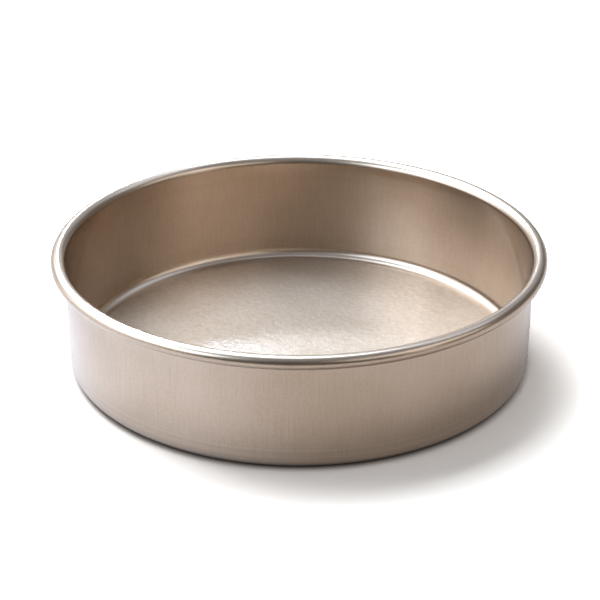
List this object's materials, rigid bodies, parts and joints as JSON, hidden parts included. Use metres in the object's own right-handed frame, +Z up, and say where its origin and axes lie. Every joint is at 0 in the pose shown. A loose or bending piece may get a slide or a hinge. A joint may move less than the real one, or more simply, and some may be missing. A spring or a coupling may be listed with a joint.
{
  "type": "round cake tin",
  "caption": "Straight-sided round cake tin of drawn and coated sheet metal, with a flat floor, a rounded inside corner and a rim rolled outward over a steel wire.",
  "frame": {"origin": "middle of the underside, on the surface that the tin stands on", "axes": "+Z up along the tin's axis; X and Y across the mouth, with the butt joint of the hidden rim wire at +Y"},
  "size_m": [0.2166, 0.2166, 0.0535],
  "materials": {
    "champagne_coated_sheet": "satin champagne coating over brushed sheet steel",
    "steel_wire": "bare drawn steel wire, hidden inside the rolled rim"
  },
  "bodies": {
    "root": {"pan_shell": "champagne_coated_sheet", "rim_wire": "steel_wire"}
  },
  "joints": []
}
